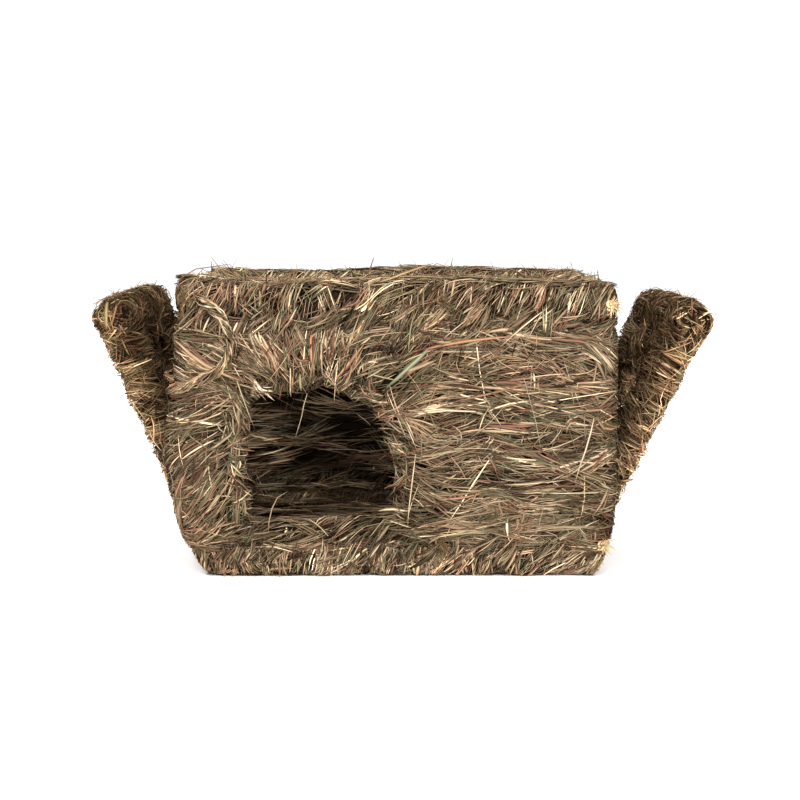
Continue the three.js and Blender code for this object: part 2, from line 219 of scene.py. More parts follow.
def linear(colour):
    """A colour given in sRGB from 0 to 255, as the linear values that Blender's materials take."""
    share = np.array(colour) / 255
    return np.where(share <= 0.04045, share / 12.92, ((share + 0.055) / 1.055) ** 2.4)


PALETTE = np.array([linear(colour) for colour, _ in STRAW_COLOURS.values()])
SHARES = np.array([share for _, share in STRAW_COLOURS.values()])


def seeded(name):
    """A random generator of a piece's own, so that a change to one piece leaves the others as they are."""
    return np.random.default_rng(zlib.crc32(name.encode()))


def unit(vectors):
    return vectors / np.maximum(np.linalg.norm(vectors, axis=-1, keepdims=True), 1e-9)


def scatter(rng, count, lows, highs):
    """Points spread evenly, but not in rows, over a rectangle."""
    even = (np.arange(count)[:, None] * np.array([0.7548776662, 0.5698402910]) + rng.random(2)) % 1
    jittered = (even + rng.normal(0, 0.3 / math.sqrt(count), even.shape)) % 1
    return np.array(lows) + jittered * (np.array(highs) - np.array(lows))


# ---------------------------------------------------------------- the frame, panel by panel


class Panel:
    """A panel seen from outside the hut: u runs to the right, v up or away, and w out of the hut."""

    def __init__(self, name, body, u, v, rolls, neighbours=()):
        self.name = name
        self.body = body
        u, v = np.array(u, float), np.array(v, float)
        self.axes = np.array([u, v, np.cross(u, v)])
        self.mat_name = f"{name}_mat"
        self.mat = self.box_of(self.mat_name)
        self.rolls = [f"{name}_{roll}_roll" for roll in rolls]
        self.boxes = {roll: self.box_of(roll) for roll in [*self.rolls, *neighbours]}
        self.joined = len(neighbours) > 0
        low, high = self.boxes[self.rolls[0]]
        self.plane = (low[2] + high[2]) / 2
        self.radius = (high[2] - low[2]) / 2
        self.patches = Lumps(seeded(name + "_patches"), 0.34, 60, 0)
        self.bands = Lumps(seeded(name + "_bands"), 0.34, 60, 0)

    def box_of(self, node):
        corners = np.array([corner.co for corner in frame["nodes"][node].data.vertices]) / MM
        local = corners @ self.axes.T
        return local.min(0), local.max(0)

    def to_hut(self, points):
        return points @ self.axes

    def reach(self):
        """The lowest and highest corners of a coat of straws over the panel."""
        lows, highs = zip(*(self.boxes[roll] for roll in self.rolls))
        overlap = np.array([0, OVERLAP if self.joined else 0])
        return np.min(lows, axis=0)[:2] - overlap, np.max(highs, axis=0)[:2] + overlap

    def joints(self):
        """Where this panel's lowest and highest rolls touch its neighbours'."""
        lows, highs = zip(*(self.boxes[roll] for roll in self.rolls))
        return np.min(lows, axis=0)[1], np.max(highs, axis=0)[1]

    def light(self, u, v):
        """Broad lighter and darker patches, and on the front painted shade in the hollows between its
        tufts.
        """
        light = np.exp(self.patches(u) * self.bands(v))
        if self.name == "front":
            # Painted shade: the straws' colour is darkened in each hollow.
            for x, z, half_length, half_height in FRONT_HOLLOW_SHADE:
                away = ((u - x) / half_length) ** 2 + ((v - z) / half_height) ** 2
                light = light * (1 - 0.9 * np.exp(-away))
        return light

    def owner(self, u, v):
        """Which part a point belongs to: 0 for the mat, and then the rolls in order."""
        part = np.zeros(np.shape(u), int)
        for index, ((left, low, _), (right, high, _)) in enumerate(self.boxes.values()):
            part[(u > left) & (u < right) & (v > low) & (v < high)] = index + 1
        return part

    def relief(self, u, v, side, mat_height):
        """The height of the panel's surface over its middle plane: its rolls, and its mat between them."""
        height = mat_height
        for low, high in self.boxes.values():
            middle = (low + high) / 2
            standing = (high - low)[1] > (high - low)[0]
            away = u - middle[0] if standing else v - middle[1]
            radius = (high - low)[2] / 2
            round_height = np.sqrt(np.maximum(radius**2 - away**2, 0)) + side * (middle[2] - self.plane)
            height = np.where(np.abs(away) < radius, np.maximum(height, round_height), height)
        return height

    def roll_spine(self, roll):
        """The centre line of one of the panel's rolls."""
        low, high = self.boxes[roll]
        middle = (low + high) / 2
        middle[2] = self.plane
        long_way = np.argmax((high - low)[:2])
        reach = np.zeros(3)
        reach[long_way] = (high - low)[long_way] / 2
        return Spine([middle - reach, middle, middle + reach], (0, 0, 1))


def lean_of(joint_name):
    """How far a flap stands from upright at rest, in radians. It opens until it lies flat."""
    joint = next(joint for joint in frame["joints"] if joint["name"] == joint_name)
    return math.radians(90 - joint["range_deg"][1])


def make_panels():
    lying = ("front", "back", "left", "right")
    standing = ("bottom", "top", "left", "right")
    hinged = ("bottom", "top", "front", "rear")
    left, right = lean_of("left_flap_hinge"), lean_of("right_flap_hinge")
    panels = [
        Panel("floor", "hut", (1, 0, 0), (0, -1, 0), lying),
        Panel("front", "hut", (1, 0, 0), (0, 0, 1), standing, ("roof_front_roll", "floor_front_roll")),
        Panel("back", "hut", (-1, 0, 0), (0, 0, 1), standing, ("roof_back_roll", "floor_back_roll")),
        Panel("roof", "hut", (1, 0, 0), (0, 1, 0), lying),
        Panel("left_flap", "left_flap", (0, -1, 0), (-math.sin(left), 0, math.cos(left)), hinged),
        Panel("right_flap", "right_flap", (0, 1, 0), (math.sin(right), 0, math.cos(right)), hinged),
    ]
    return {panel.name: panel for panel in panels}


class Spine:
    """A line that straws are wound on, with a way to place what lies around it."""

    def __init__(self, points, across):
        self.points = np.array(points, float)
        self.across = np.array(across, float)
        steps = np.linalg.norm(np.diff(self.points, axis=0), axis=1)
        self.marks = np.concatenate([[0], np.cumsum(steps)])
        self.length = self.marks[-1]
        self.headings = unit(np.gradient(self.points, self.marks, axis=0))

    def pick(self, table, along):
        return np.stack([np.interp(along, self.marks, table[:, i]) for i in range(3)], -1)

    def surface(self, along, around, radius):
        """Points at a distance from the line, and the directions that face away from it."""
        kept = np.clip(along, 0, self.length)
        heading = unit(self.pick(self.headings, kept))
        centre = self.pick(self.points, kept) + heading * (along - kept)[..., None]
        beside = unit(np.cross(heading, self.across))
        away = beside * np.cos(around)[..., None] + self.across * np.sin(around)[..., None]
        return centre + away * np.asarray(radius)[..., None], away


class Lumps:
    """A smooth unevenness along and around a roll, or along a mat."""

    def __init__(self, rng, size, wavelength, turns=3):
        count = 6
        self.size = size * rng.uniform(0.5, 1, count) / math.sqrt(count / 2)
        self.pace = TURN / (wavelength * rng.uniform(0.6, 1.8, count))
        self.turns = rng.integers(0, turns + 1, count)
        self.phase = rng.uniform(0, TURN, count)

    def __call__(self, along, around=0):
        waves = zip(self.size, self.pace, self.turns, self.phase)
        return sum(size * np.cos(pace * along + turns * around + phase)
                   for size, pace, turns, phase in waves)


# ---------------------------------------------------------------- from strands to a mesh


class Bundle:
    """The straws, cores and cords of one piece, gathered before they become one mesh."""

    def __init__(self, name, body):
        self.name = name
        self.body = body
        self.rng = seeded(name)
        self.points = []
        self.tints = []
        self.faces = {4: [], 3: []}
        self.cells = {4: [], 3: []}
        self.rows = {4: [], 3: []}
        self.lengths = []
        self.point_count = 0
        self.row_count = 0

    def add(self, points, tints, quads, quad_cells, tris, tri_cells, lengths):
        """Adds rows of faces. A row is one straw or bar. Its cells run from 0 to 1 along and around it."""
        row_count = len(lengths)
        for corners, faces, cells in ((4, quads, quad_cells), (3, tris, tri_cells)):
            self.faces[corners].append((faces + self.point_count).reshape(-1, corners))
            self.cells[corners].append(cells.reshape(-1, corners, 2))
            rows = np.repeat(np.arange(row_count) + self.row_count, faces.size // row_count // corners)
            self.rows[corners].append(rows)
        self.points.append(points.reshape(-1, 3))
        self.tints.append(np.broadcast_to(tints, points.shape).reshape(-1, 3))
        self.lengths.append(lengths)
        self.point_count += points.size // 3
        self.row_count += row_count

    def build(self, material, slot):
        """Makes the mesh, with one map that gives each straw its own patch, and one along the fibres."""
        points = np.concatenate(self.points)
        if self.body == "hut":
            points = settled(points)
        points[:, 2] = above_ground(points[:, 2])
        points *= MM
        faces = {n: np.concatenate(self.faces[n]) for n in (4, 3)}
        cells = np.concatenate([np.concatenate(self.cells[n]).reshape(-1, 2) for n in (4, 3)])
        rows = np.concatenate([np.repeat(np.concatenate(self.rows[n]), n) for n in (4, 3)])
        lengths = np.concatenate(self.lengths)
        mesh = bpy.data.meshes.new(self.name)
        mesh.vertices.add(len(points))
        mesh.vertices.foreach_set("co", points.astype(np.float32).ravel())
        mesh.loops.add(faces[4].size + faces[3].size)
        corners = np.concatenate([faces[4].ravel(), faces[3].ravel()])
        mesh.loops.foreach_set("vertex_index", corners.astype(np.int32))
        first_corners = np.arange(len(faces[4])) * 4, faces[4].size + np.arange(len(faces[3])) * 3
        starts = np.concatenate(first_corners)
        mesh.polygons.add(len(starts))
        mesh.polygons.foreach_set("loop_start", starts.astype(np.int32))
        mesh.update(calc_edges=True)
        self.sharpen(mesh)

        columns = max(math.ceil(math.sqrt(self.row_count / 4)), 1)
        lines = math.ceil(self.row_count / columns)
        corner = np.stack([rows % columns, rows // columns], -1)
        patch = (corner + 0.08 + 0.84 * cells) / np.array([columns, lines])
        self.add_map(mesh, "OFBake", patch)
        fibre = np.stack([cells[:, 0] * lengths[rows] + rows * 7.3, cells[:, 1] * 3 + rows * 5.1], -1)
        self.add_map(mesh, "Fibre", fibre)
        tint = mesh.color_attributes.new("tint", "FLOAT_COLOR", "POINT")
        # Each body's tone: the flaps' is browner, and brightened with painted light, the right flap's most.
        tints = np.concatenate(self.tints) * BODY_TONES_AND_LIGHT[self.body]
        colours = np.concatenate([tints, np.ones((len(points), 1))], axis=1)
        tint.data.foreach_set("color", colours.astype(np.float32).ravel())
        mesh.materials.append(material)
        piece = bpy.data.objects.new(self.name, mesh)
        bpy.context.scene.collection.objects.link(piece)
        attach(piece, self.body)
        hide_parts(self.name)

    @staticmethod
    def sharpen(mesh):
        """Keeps the three long edges of every straw crisp, and everything else smooth."""
        mesh.shade_smooth()
        ends = np.empty(len(mesh.edges) * 2, np.int32)
        mesh.edges.foreach_get("vertices", ends)
        lengthways = np.abs(ends[0::2] - ends[1::2]) == 3
        sharp = mesh.attributes.new("sharp_edge", "BOOLEAN", "EDGE")
        sharp.data.foreach_set("value", lengthways)

    @staticmethod
    def add_map(mesh, name, places):
        layer = mesh.uv_layers.new(name=name)
        layer.data.foreach_set("uv", places.astype(np.float32).ravel())


def settled(points):
    """The crookedness of a hut made by hand: its front drawn in at the foot, its left side swollen."""
    x, y, z = points.T
    at_front = np.clip((-y - 50) / 70, 0, 1)
    drawn_in = np.where(x < 0, 0.12, 0.07) * np.clip(1 - z / 60, 0, 1) ** 1.5 * at_front
    swelling = 12 * np.exp(-(((z - 118) / 52) ** 2)) * np.clip((-x - 120) / 70, 0, 1) * at_front
    raised = 4 * np.clip((z - 225) / 30, 0, 1) * np.clip((-x - 130) / 50, 0, 1) * at_front
    wave = np.clip(z / 60, 0, 1) * np.sin(x / 47 + 0.8) * 1.8
    lean = 2.2 * np.sin(x / 71 + z / 49) * np.clip(z / 60, 0, 1)
    return np.stack([x * (1 - drawn_in) - swelling, y + lean, z + wave + raised], -1)


def above_ground(z):
    """Heights with what would be under the ground pressed flat on to it."""
    over = z - LOWEST - GIVE
    return np.where(over < 0, LOWEST + GIVE * np.exp(np.minimum(over, 0) / GIVE), z)


def varied(rng, tufts, by_tuft, by_straw):
    """A chance amount for each straw: its tuft's, and some of its own."""
    return rng.normal(0, by_tuft, tufts.max() + 1)[tufts] + rng.normal(0, by_straw, len(tufts))


def tuft_colours(rng, tufts):
    """A colour for each straw, mostly its tuft's own."""
    tuft_count = tufts.max() + 1
    tuft_pick = rng.choice(len(PALETTE), tuft_count, p=SHARES)
    own_pick = rng.choice(len(PALETTE), len(tufts), p=SHARES)
    pick = np.where(rng.random(len(tufts)) < 0.45, tuft_pick[tufts], own_pick)
    light = np.exp(rng.normal(0, 0.30, len(tufts)) + rng.normal(0, 0.20, tuft_count)[tufts])
    mixed = 0.8 * PALETTE[pick] + 0.2 * PALETTE[own_pick]
    return mixed * light[:, None]


def add_straws(bundle, lines, out, widths, colours, heights):
    """Turns centre lines into three-sided tapering straws: flat underneath, with a ridge on the outside."""
    rng = bundle.rng
    count, stations = lines.shape[:2]
    share = np.linspace(0, 1, stations)
    heading = unit(np.gradient(lines, axis=1))
    side = unit(np.cross(heading, out))
    up = np.cross(side, heading)
    twist = rng.normal(0, 0.35, (count, 1)) + rng.normal(0, 0.55, (count, 1)) * (share - 0.5)
    cos, sin = np.cos(twist)[..., None], np.sin(twist)[..., None]
    side, up = side * cos + up * sin, up * cos - side * sin
    stalk = (rng.random(count) < 0.35)[:, None]
    leaf_taper = np.sin(math.pi * (0.22 + 0.72 * share)) ** 0.8
    taper = np.where(stalk, 1 - 0.35 * share, leaf_taper)
    taper[:, 0] *= 0.6
    taper[:, -1] *= 0.45
    breadth = np.where(stalk, np.minimum(widths[:, None], 1.5) * 0.75, widths[:, None]) * taper
    half = (breadth / 2)[..., None]
    ridge = (breadth * np.where(stalk, 0.8, 0.26))[..., None]
    points = np.stack([lines - side * half, lines + side * half, lines + up * ridge], axis=2)
    fade = 1 + rng.normal(0, 0.08, (count, 1)) + rng.normal(0.04, 0.14, (count, 1)) * (2 * share - 1)
    shade = DARKEST + (1 - DARKEST) * np.clip((heights - SHADE[0]) / (SHADE[1] - SHADE[0]), 0, 1)
    light = (np.clip(fade, 0.5, 1.5) * shade)[:, :, None] * np.array(EDGES)
    tints = colours[:, None, None, :] * light[..., None]

    first = np.arange(count)[:, None, None] * stations * 3
    step = np.arange(stations - 1)[None, :, None] * 3
    here = np.arange(3)[None, None, :]
    after = (here + 1) % 3
    ring = first + step
    quads = np.stack([ring + here, ring + 3 + here, ring + 3 + after, ring + after], -1)
    along = (np.arange(stations - 1)[:, None, None] + np.array([0, 1, 1, 0])) / (stations - 1)
    around = (np.arange(3)[None, :, None] + np.array([0, 0, 1, 1])) / 3
    quad_cells = np.broadcast_to(np.stack(np.broadcast_arrays(along, around), -1), (*quads.shape, 2))
    last = 3 * (stations - 1)
    tris = first + np.array([[0, 1, 2], [last, last + 2, last + 1]])
    end_cells = [[(0, 0), (0, 0.3), (0.03, 0.2)], [(1, 0), (1, 0.3), (0.97, 0.2)]]
    tri_cells = np.broadcast_to(end_cells, (*tris.shape, 2))
    reach = np.linalg.norm(np.diff(lines, axis=1), axis=2).sum(axis=1)
    bundle.add(points, tints, quads, quad_cells, tris, tri_cells, reach)


def add_bar(bundle, rings, colour, length, closed=False):
    """Adds one bar through rings of points: an open one has flat ends, a closed one runs into itself."""
    count, sides = rings.shape[:2]
    ring = np.arange(count if closed else count - 1)[:, None]
    side = np.arange(sides)[None, :]
    here, there = ring * sides, (ring + 1) % count * sides
    after = (side + 1) % sides
    quads = np.stack([here + side, here + after, there + after, there + side], -1)
    along = np.stack(np.broadcast_arrays(ring, ring, ring + 1, ring + 1), -1) / count
    around = np.stack([side, side + 1, side + 1, side], -1) / sides
    quad_cells = np.stack(np.broadcast_arrays(along, around), -1)
    spokes = np.arange(1, sides - 1)
    low = np.stack([spokes * 0, spokes + 1, spokes], -1)
    high = np.stack([spokes * 0, spokes, spokes + 1], -1) + (count - 1) * sides
    tris = np.empty((0, 3), int) if closed else np.concatenate([low, high])
    tri_cells = np.zeros((len(tris), 3, 2)) + np.array([[0.5, 0.5], [0.52, 0.5], [0.52, 0.52]])
    bundle.add(rings, colour, quads, quad_cells, tris, tri_cells, np.array([length]))


# ---------------------------------------------------------------- winding and laying straws


def arched(rng, tufts, depth, lift, loft=2.2):
    """How high each straw runs over its surface: low at both ends, with a share of tips that stand up."""
    count = len(tufts)
    along = np.linspace(-1, 1, STATIONS)
    height = rng.uniform(-0.25, 0.75, tufts.max() + 1)[tufts] * depth + rng.normal(0, 0.5, count)
    tuck = TUCK * rng.uniform(0.2, 1.2, (count, 1))
    free = (rng.random((count, 1)) < lift) * np.minimum(rng.exponential(loft, (count, 1)), 2.6 * loft)
    tip = np.where(rng.random((count, 1)) < 0.5, along, -along)
    return height[:, None] - tuck * np.abs(along) ** 3 + free * np.clip(tip, 0, 1) ** 2


def straw_sizes(rng, count, length, width):
    lengths = length * np.exp(rng.normal(0, 0.38, count))
    widths = width * np.exp(rng.normal(0, 0.36, count))
    broad = rng.random(count) < 0.05
    return lengths, np.minimum(np.where(broad, widths * 2.3, widths), BROADEST)


def within(places, low, high):
    """Moves each straw sideways until all of it is between two limits, if it is short enough."""
    places = places - np.maximum(places.max(axis=1, keepdims=True) - high, 0)
    return places + np.maximum(low - places.min(axis=1, keepdims=True), 0)


def end_inset(length, radius):
    return min(0.5 * radius, length / 4)


def end_rounding(along, length, radius):
    """The share of its radius that a roll keeps near its two ends."""
    inset = end_inset(length, radius)
    past = np.clip((np.abs(along - length / 2) - (length / 2 - inset)) / inset, 0, 1)
    return np.sqrt(np.maximum(1 - past**2, 0.06))


def in_tufts(rng, count, tuft_size, low, high):
    """Tufts spread over a rectangle: which one each straw is in, and its place."""
    tuft_count = max(count // tuft_size, 1)
    places = scatter(rng, tuft_count, low, high)
    tufts = np.repeat(np.arange(tuft_count), tuft_size)
    return tufts, *places[tufts].T


def spread_out(rng, way, back, beside):
    """How far straws with the given directions lie from their tuft's middle, along both axes."""
    back = rng.normal(0, back, len(way))
    beside = rng.normal(0, beside, len(way))
    return back * np.cos(way) - beside * np.sin(way), back * np.sin(way) + beside * np.cos(way)


def wind(bundle, panel, spine, radius, count, slant, lumps, spread=14, length=34, width=STRAW_WIDTH,
         depth=3.4, lift=0.16, loft=2.2, tuft_size=TUFT_SIZE, raised=0.3, rounded=True, inside=1.0,
         tone=1.0):
    """Winds straws round a spine. The slant is from the spine's own direction, by distance along it."""
    rng = bundle.rng
    tufts, s0, a0 = in_tufts(rng, count, tuft_size, (0, 0), (spine.length, TURN))
    lean = np.radians(slant(s0) + varied(rng, tufts, spread, 5))
    lengths, widths = straw_sizes(rng, len(tufts), length, width)
    along, around = spread_out(rng, lean, length * 0.18, 4.0)
    s0 = s0 + along
    a0 = a0 + around / radius
    share = np.linspace(-0.5, 0.5, STATIONS)
    bow = varied(rng, tufts, 0.035, 0.02)
    bend = (bow * lengths)[:, None] * (1 - 4 * share**2)
    ahead = lengths[:, None] * share
    cos, sin = np.cos(lean)[:, None], np.sin(lean)[:, None]
    s = within(s0[:, None] + ahead * cos - bend * sin, 0, spine.length)
    a = a0[:, None] + (ahead * sin + bend * cos) / radius
    height = radius - 1.6 + lumps(s, a)
    if rounded:
        height = height * end_rounding(s, spine.length, radius)
    proud = raised + arched(rng, tufts, depth, lift, loft)
    lines, out = spine.surface(s, a, height + proud)
    # Painted shade: straws on the side of the spine that faces into the hut keep only the inside share of
    # their colour.
    outward = np.clip(0.5 + np.sin(a0), 0, 1)[:, None]
    colours = tuft_colours(rng, tufts) * tone * (inside + (1 - inside) * outward)
    add_straws(bundle, panel.to_hut(lines), panel.to_hut(out), widths, colours, proud)


def cap_ends(bundle, panel, spine, radius, count, width):
    """Straws laid across the rounded ends of a roll."""
    rng = bundle.rng
    tuft_count = max(count // 6, 1)
    tufts = np.repeat(np.arange(tuft_count), 6)
    total = len(tufts)
    way = rng.uniform(0, math.pi, tuft_count)[tufts] + rng.normal(0, 0.15, total)
    lengths, widths = straw_sizes(rng, total, radius * 1.3, width)
    middles = rng.normal(0, radius * 0.4, (tuft_count, 2))[tufts] + rng.normal(0, 1.6, (total, 2))
    ahead = lengths[:, None] * np.linspace(-0.5, 0.5, STATIONS)
    x = middles[:, :1] + ahead * np.cos(way)[:, None]
    y = middles[:, 1:] + ahead * np.sin(way)[:, None]
    reach = np.minimum(np.hypot(x, y), radius * 0.98)
    around = np.arctan2(y, x)
    near_end = spine.length - end_inset(spine.length, radius) * (1 - np.sqrt(1 - (reach / radius) ** 2))
    far = (np.arange(total) % 2 == 0)[:, None]
    proud = arched(rng, tufts, 2.0, 0.1)
    along = near_end - 1.5 + proud
    along = np.where(far, along, spine.length - along)
    lines, away = spine.surface(along, around, reach)
    axis = unit(spine.points[-1] - spine.points[0]) * np.where(far, 1, -1)[..., None]
    out = unit(axis + away * (reach / radius)[..., None])
    add_straws(bundle, panel.to_hut(lines), panel.to_hut(out), widths, tuft_colours(rng, tufts), proud)


def add_core(bundle, panel, spine, radius, lumps, flatness=1.0, rounded=True):
    """The inside of a roll, or of one strand of a mat, flattened across the mat's plane, and coloured dark
    as painted shade for the depths between the straws.
    """
    count = max(int(spine.length / 5), 3) + 1
    turns = np.linspace(0, TURN, CORE_SIDES, False)
    s, a = np.meshgrid(np.linspace(0, spine.length, count), turns, indexing="ij")
    size = radius + lumps(s, a)
    if rounded:
        size = size * end_rounding(s, spine.length, radius)
    squeezed = np.hypot(np.cos(a), flatness * np.sin(a))
    around = np.arctan2(flatness * np.sin(a), np.cos(a))
    rings, _ = spine.surface(s, around, np.maximum(size, 1) * squeezed)
    add_bar(bundle, panel.to_hut(rings), linear(CORE_SHADE_COLOUR), spine.length)


def lay(panel, side, count, field, surface, blocked, spread=18, length=STRAW_LENGTH,
        tuft_size=TUFT_SIZE, **looks):
    """Lays straws on one side of a panel, in tufts that follow a field of directions over a surface."""
    rng = bundles[panel.mat_name].rng
    tufts, u0, v0 = in_tufts(rng, count, tuft_size, *panel.reach())
    turn = np.radians(varied(rng, tufts, spread, 5))
    right, up = spread_out(rng, field(u0, v0) + turn, length * 0.2, 4.2)
    place_straws(panel, side, tufts, u0 + right, v0 + up, turn, field, surface, blocked, length, **looks)


def place_straws(panel, side, tufts, u0, v0, turn, field, surface, blocked, length, width=STRAW_WIDTH,
                 depth=DEPTH, lift=0.14, loft=2.2, raised=0.0, tone=1.0, curl=0.09, sinking=3.6,
                 reach_over=0):
    """Runs straws over a surface from their middles, and shares them out between the panel's parts."""
    rng = bundles[panel.mat_name].rng
    low, high = panel.reach()
    lengths, widths = straw_sizes(rng, len(tufts), length, width)
    u, v = follow(field, u0, v0, turn, lengths, varied(rng, tufts, curl, curl / 2))
    u = within(u, low[0] + 0.5, high[0] - 0.5)
    ragged = rng.uniform(0.5, 8 if panel.joined else 26, (len(tufts), 1)) - reach_over
    v = within(v, low[1] + ragged, high[1] - ragged)
    keep = ~blocked(u, v).any(axis=1)
    proud = raised + arched(rng, tufts, depth, lift, loft)
    past = np.maximum(low[1] + OVERLAP + 3 - v, v - high[1] + OVERLAP + 3)
    sunk = sinking * np.clip(past / OVERLAP, 0, 1) if panel.joined else 0
    lines = np.stack([u, v, panel.plane + side * (surface(u, v) - 1.2 + proud - sunk)], -1)
    out = np.zeros_like(lines)
    out[..., 2] = side
    lines, out = panel.to_hut(lines), panel.to_hut(out)
    colours = tuft_colours(rng, tufts) * tone * panel.light(u0, v0)[:, None]
    owner = panel.owner(u[:, STATIONS // 2], v[:, STATIONS // 2])
    for index, name in enumerate([panel.mat_name, *panel.boxes]):
        own = keep & (owner == index)
        if own.any():
            add_straws(bundles[name], lines[own], out[own], widths[own], colours[own], proud[own])


def follow(field, u0, v0, turn, lengths, curl):
    """Runs each straw both ways from its middle, along the field's directions."""
    middle = STATIONS // 2
    step = lengths / (STATIONS - 1)
    u, v = np.repeat(u0[:, None], STATIONS, 1), np.repeat(v0[:, None], STATIONS, 1)
    for sign in (1, -1):
        x, y = u0.copy(), v0.copy()
        heading = field(x, y) + turn
        for k in range(1, middle + 1):
            wanted = field(x, y) + turn + sign * curl * k / middle
            heading = np.where(np.cos(wanted - heading) < 0, wanted + math.pi, wanted)
            x = x + sign * step * np.cos(heading)
            y = y + sign * step * np.sin(heading)
            u[:, middle + sign * k] = x
            v[:, middle + sign * k] = y
    return u, v


def nothing_blocked(u, v):
    return np.zeros(np.shape(u), bool)


# ---------------------------------------------------------------- mats


class Weave:
    """A mat's courses, each a band of straw along u, and the height of the surface over them."""

    def __init__(self, panel, courses):
        rng = seeded(panel.name + "_weave")
        (self.left, self.low, inner), (self.right, self.high, outer) = panel.mat
        self.inner, self.outer = panel.plane - inner, outer - panel.plane
        self.courses = courses
        self.pitch = (self.high - self.low) / courses
        self.waves = [Lumps(rng, SEAM_WAVE, 90, 0) for _ in range(courses + 1)]
        self.slopes = [Lumps(rng, 5, 150, 0) for _ in range(courses)]

    def seam(self, index, u):
        """The height of the seam under a course."""
        line = self.low + index * self.pitch + 0 * u
        return line if index in (0, self.courses) else line + self.waves[index](u)

    def place(self, u, v):
        """Which course a point is in, and how far across it, from 0 to 1."""
        seams = np.stack([self.seam(i, u) for i in range(self.courses + 1)])
        index = np.clip((v[None] > seams[1:-1]).sum(axis=0), 0, self.courses - 1)
        low = np.take_along_axis(seams, index[None], 0)[0]
        high = np.take_along_axis(seams, index[None] + 1, 0)[0]
        return index, np.clip((v - low) / (high - low), 0, 1)

    def relief(self, u, v):
        """How much of the mat's thickness is left at a point: least in the seams."""
        _, share = self.place(u, v)
        return 0.6 + 0.4 * np.sqrt(np.maximum(1 - (2 * share - 1) ** 2, 0))

    def surface(self, panel, side):
        """The height of the whole panel over its middle plane, on one side."""
        depth = self.outer if side == 1 else self.inner
        return lambda u, v: panel.relief(u, v, side, depth * self.relief(u, v))

    def field(self, u, v):
        """Straws run along the courses, and waver a little."""
        index, _ = self.place(u, v)
        slope = np.stack([wave(u) for wave in self.slopes])
        return np.radians(np.take_along_axis(slope, index[None], 0)[0])

    def add_cores(self, bundle, panel, blocked):
        """Bars inside the courses, dark with painted shade. A bar stops where the mat's outline blocks it.
        """
        middle = panel.plane + (self.outer - self.inner) / 2
        thickness = (self.outer + self.inner) / 2
        u = np.arange(self.left, self.right, 4.0)
        for course in range(self.courses):
            low, high = self.seam(course, u), self.seam(course + 1, u)
            for strand in range(STRANDS):
                share = (strand + 0.5) / STRANDS
                radius = (self.pitch - SEAM_GAP) / STRANDS / 2 * 1.12
                v = low + SEAM_GAP / 2 + (high - low - SEAM_GAP) * share
                depth = thickness * (0.70 if strand == STRANDS // 2 else 0.55)
                for run in free_runs(~blocked(u, v)):
                    if len(run) < 3:
                        continue
                    points = np.stack([u[run], v[run], np.full(len(run), middle)], -1)
                    lumps = Lumps(bundle.rng, 0.6, 30)
                    add_core(bundle, panel, Spine(points, (0, 0, 1)), radius, lumps, depth / radius, False)


def free_runs(free):
    """Stretches of neighbouring places that are all free, as arrays of their indices."""
    places = np.flatnonzero(free)
    return np.split(places, np.flatnonzero(np.diff(places) > 1) + 1) if len(places) else []


def bezier(start, bend, end):
    t = np.linspace(0, 1, CURVE_POINTS)[:, None]
    start, bend, end = np.array(start), np.array(bend), np.array(end)
    return (1 - t) ** 2 * start + 2 * t * (1 - t) * bend + t**2 * end


def door_line():
    """The line that the roll round the front door follows, from its left foot to its right one."""
    left_shoulder, right_shoulder = (DOOR_LEFT, DOOR_SHOULDERS[0]), (DOOR_RIGHT, DOOR_SHOULDERS[1])
    left_bend = bezier(left_shoulder, DOOR_BENDS[:2], DOOR_TOP[:2])
    right_bend = bezier(DOOR_TOP[2:], DOOR_BENDS[2:], right_shoulder)
    return np.concatenate([[(DOOR_LEFT, DOOR_FOOT)], left_bend, right_bend, [(DOOR_RIGHT, DOOR_FOOT)]])


def arch_line(panel, room=0.0):
    """The curved lower edge of a flap's mat, seen from outside, from left to right."""
    angle = np.linspace(math.pi, 0, 15)
    low, high = panel.mat
    width, rise = ARCH_HALF_WIDTH + room, ARCH_RISE + room
    return np.stack([(low[0] + high[0]) / 2 + width * np.cos(angle), low[1] + rise * np.sin(angle)], -1)


def distance_inside(outline, u, v):
    """How far each point is inside a closed outline. Outside it the distance is negative."""
    place = np.stack([u, v], -1)[..., None, :]
    start, end = outline, np.roll(outline, -1, axis=0)
    edge = end - start
    share = np.clip(((place - start) * edge).sum(-1) / (edge**2).sum(-1), 0, 1)
    distance = np.linalg.norm(place - start - share[..., None] * edge, axis=-1).min(axis=-1)
    x, y = place[..., 0], place[..., 1]
    spans = (start[:, 1] > y) != (end[:, 1] > y)
    rise = np.where(edge[:, 1] == 0, 1, edge[:, 1])
    crossings = spans & (x < start[:, 0] + (y - start[:, 1]) * edge[:, 0] / rise)
    return np.where(crossings.sum(axis=-1) % 2 == 1, distance, -distance)


# ---------------------------------------------------------------- materials


def new_material(name):
    material = bpy.data.materials.new(name)
    material.use_nodes = True
    tree = material.node_tree
    return material, tree, tree.nodes["Principled BSDF"]


def add_node(tree, kind, settings=None, **links):
    """A node with its settings, and its inputs as numbers or as sockets of other nodes."""
    node = tree.nodes.new(kind)
    for key, value in (settings or {}).items():
        setattr(node, key, value)
    for key, value in links.items():
        socket = node.inputs[int(key[1:])] if key[0] == "i" and key[1:].isdigit() else node.inputs[key]
        if isinstance(value, bpy.types.NodeSocket):
            tree.links.new(value, socket)
        else:
            socket.default_value = value
    return node


def noise(tree, places, scale, detail):
    return add_node(tree, "ShaderNodeTexNoise", Vector=places, Scale=scale, Detail=detail).outputs[0]


def stretched(tree, value, low, high, first=0.3, last=0.7):
    """A noise whose usual span of values is mapped to new limits."""
    return add_node(tree, "ShaderNodeMapRange", i0=value, i1=first, i2=last, i3=low, i4=high).outputs[0]


